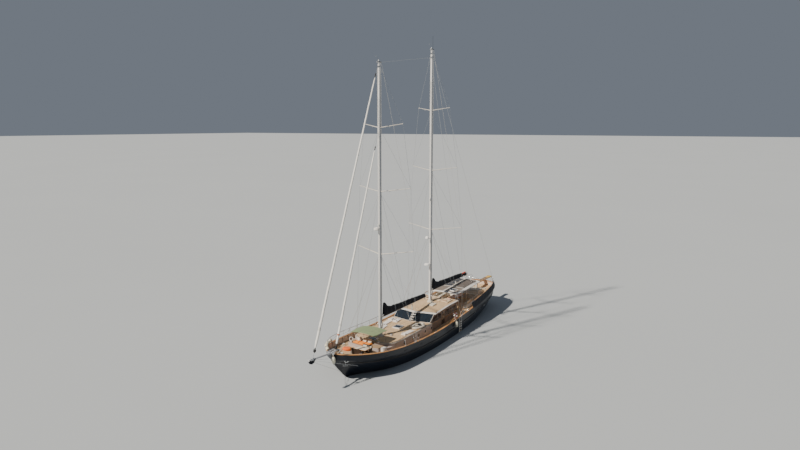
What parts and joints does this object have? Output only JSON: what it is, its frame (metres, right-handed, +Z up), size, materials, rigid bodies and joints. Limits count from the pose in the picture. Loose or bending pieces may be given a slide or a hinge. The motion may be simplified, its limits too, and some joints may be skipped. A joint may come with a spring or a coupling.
{
  "type": "two-masted motor sailing yacht",
  "caption": "Two-masted schooner-rigged motor sailing yacht at anchor, sails furled, with deckhouse, hardtop, awning and passerelle.",
  "frame": {"origin": "amidships on the centreline, on the waterline", "axes": "+X to the bow, +Y to port, +Z up"},
  "size_m": [39.5572, 7.664, 36.85],
  "materials": {
    "hull_paint": "gloss near-black navy topside paint",
    "bronze": "cast bronze, dulled",
    "teak": "weathered laid teak with dark seams",
    "varnish": "gloss varnish over honey-orange hardwood",
    "steel": "polished stainless steel",
    "house_paint": "satin taupe-grey paint",
    "window_glass": "tinted dark blue-grey",
    "mast_paint": "light grey painted aluminium",
    "sailcloth": "white sailcloth rolled on its stay",
    "sail_cover": "near-black navy canvas cover",
    "white_paint": "gloss white paint",
    "solar_cells": "dark cells under clear sheet",
    "cream_cloth": "cream outdoor fabric",
    "orange_cloth": "orange outdoor fabric",
    "sage_cloth": "sage-green awning canvas",
    "wicker": "dark woven resin wicker"
  },
  "bodies": {
    "hull_and_house": {"aft_settee": "white_paint", "aft_sunbed": "cream_cloth", "aft_table": "varnish", "anchor": "steel", "awning": "sage_cloth", "awning_frame": "steel", "beanbag": "orange_cloth", "bench_cushion": "orange_cloth", "boarding_ladder": "steel", "bowsprit": "steel", "bowsprit_stays": "steel", "bulwark": "hull_paint", "cabin_trunk": "house_paint", "cap_rail": "varnish", "chairs_aft": "wicker", "chairs_fore": "wicker", "deck": "teak", "foredeck_bench": "house_paint", "foredeck_table": "varnish", "furled_genoa": "sailcloth", "furled_jib": "sailcloth", "guard_rail_fore": "steel", "guard_rail_port": "steel", "guard_rail_starboard": "steel", "hardtop": "white_paint", "hardtop_frame": "steel", "helm_console": "white_paint", "hull": "hull_paint", "mast_fore": "mast_paint", "mast_main": "mast_paint", "passerelle_post": "steel", "roof_sunpad": "cream_cloth", "settee_cushions": "cream_cloth", "shrouds_fore": "steel", "shrouds_main": "steel", "solar_panels": "solar_cells", "stays": "steel", "wheelhouse_aft": "house_paint", "wheelhouse_front": "house_paint", "wheelhouse_roof": "teak", "wheelhouse_side_port": "house_paint", "wheelhouse_side_starboard": "house_paint", "windlass": "steel", "window_glass_port": "window_glass", "window_glass_starboard": "window_glass"},
    "propeller": {"propeller": "bronze"},
    "rudder": {"rudder": "hull_paint"},
    "helm_wheel": {"helm_wheel": "varnish"},
    "windlass_drum": {"windlass_drum": "bronze"},
    "fore_hatch_lid": {"fore_hatch_lid": "window_glass"},
    "skylight_lid": {"skylight_lid": "window_glass"},
    "hardtop_hatch_lid": {"hardtop_hatch_lid": "window_glass"},
    "door_port": {"door_port": "varnish"},
    "door_starboard": {"door_starboard": "varnish"},
    "aft_door": {"aft_door": "varnish"},
    "boom_fore": {"boom_fore": "mast_paint", "sail_fore": "sail_cover"},
    "boom_main": {"boom_main": "mast_paint", "sail_main": "sail_cover"},
    "passerelle": {"passerelle": "varnish"}
  },
  "joints": [
    {"name": "propeller_spin", "type": "hinge", "parent": "hull_and_house", "child": "propeller", "pos_m": [-11.9, 0, -1.75], "axis": [1, 0, 0], "continuous": true},
    {"name": "rudder_turn", "type": "hinge", "parent": "hull_and_house", "child": "rudder", "pos_m": [-12.5, 0, 0], "axis": [0, 0, 1], "range_deg": [-35, 35]},
    {"name": "helm_turn", "type": "hinge", "parent": "hull_and_house", "child": "helm_wheel", "pos_m": [-5.73, -0.9, 2.33], "axis": [1, 0, 0], "continuous": true},
    {"name": "windlass_spin", "type": "hinge", "parent": "hull_and_house", "child": "windlass_drum", "pos_m": [13.65, 0, 2.34], "axis": [0, 1, 0], "continuous": true},
    {"name": "fore_hatch_open", "type": "hinge", "parent": "hull_and_house", "child": "fore_hatch_lid", "pos_m": [9.84, 0, 2.42], "axis": [0, -1, 0], "range_deg": [0, 100]},
    {"name": "skylight_open", "type": "hinge", "parent": "hull_and_house", "child": "skylight_lid", "pos_m": [5.09, 0.15, 2.46], "axis": [0, -1, 0], "range_deg": [0, 60]},
    {"name": "hardtop_hatch_open", "type": "hinge", "parent": "hull_and_house", "child": "hardtop_hatch_lid", "pos_m": [-6.53, 0.85, 4.0645], "axis": [0, -1, 0], "range_deg": [0, 28]},
    {"name": "door_port_swing", "type": "hinge", "parent": "hull_and_house", "child": "door_port", "pos_m": [-0.334, 2.374, 1.47385], "axis": [0, 0, -1], "range_deg": [0, 110]},
    {"name": "door_starboard_swing", "type": "hinge", "parent": "hull_and_house", "child": "door_starboard", "pos_m": [-0.334, -2.374, 1.47385], "axis": [0, 0, 1], "range_deg": [0, 110]},
    {"name": "aft_door_swing", "type": "hinge", "parent": "hull_and_house", "child": "aft_door", "pos_m": [-4.314, 0.366, 1.62741], "axis": [0, 0, -1], "range_deg": [0, 110]},
    {"name": "boom_fore_swing", "type": "hinge", "parent": "hull_and_house", "child": "boom_fore", "pos_m": [8.53, 0, 4.35], "axis": [0, 0, 1], "range_deg": [-60, 60]},
    {"name": "boom_main_swing", "type": "hinge", "parent": "hull_and_house", "child": "boom_main", "pos_m": [-2.27, 0, 4.78], "axis": [0, 0, 1], "range_deg": [-60, 60]},
    {"name": "passerelle_lift", "type": "hinge", "parent": "hull_and_house", "child": "passerelle", "pos_m": [-14.5, 0.3, 3.08], "axis": [0, 1, 0], "range_deg": [0, 70]}
  ]
}
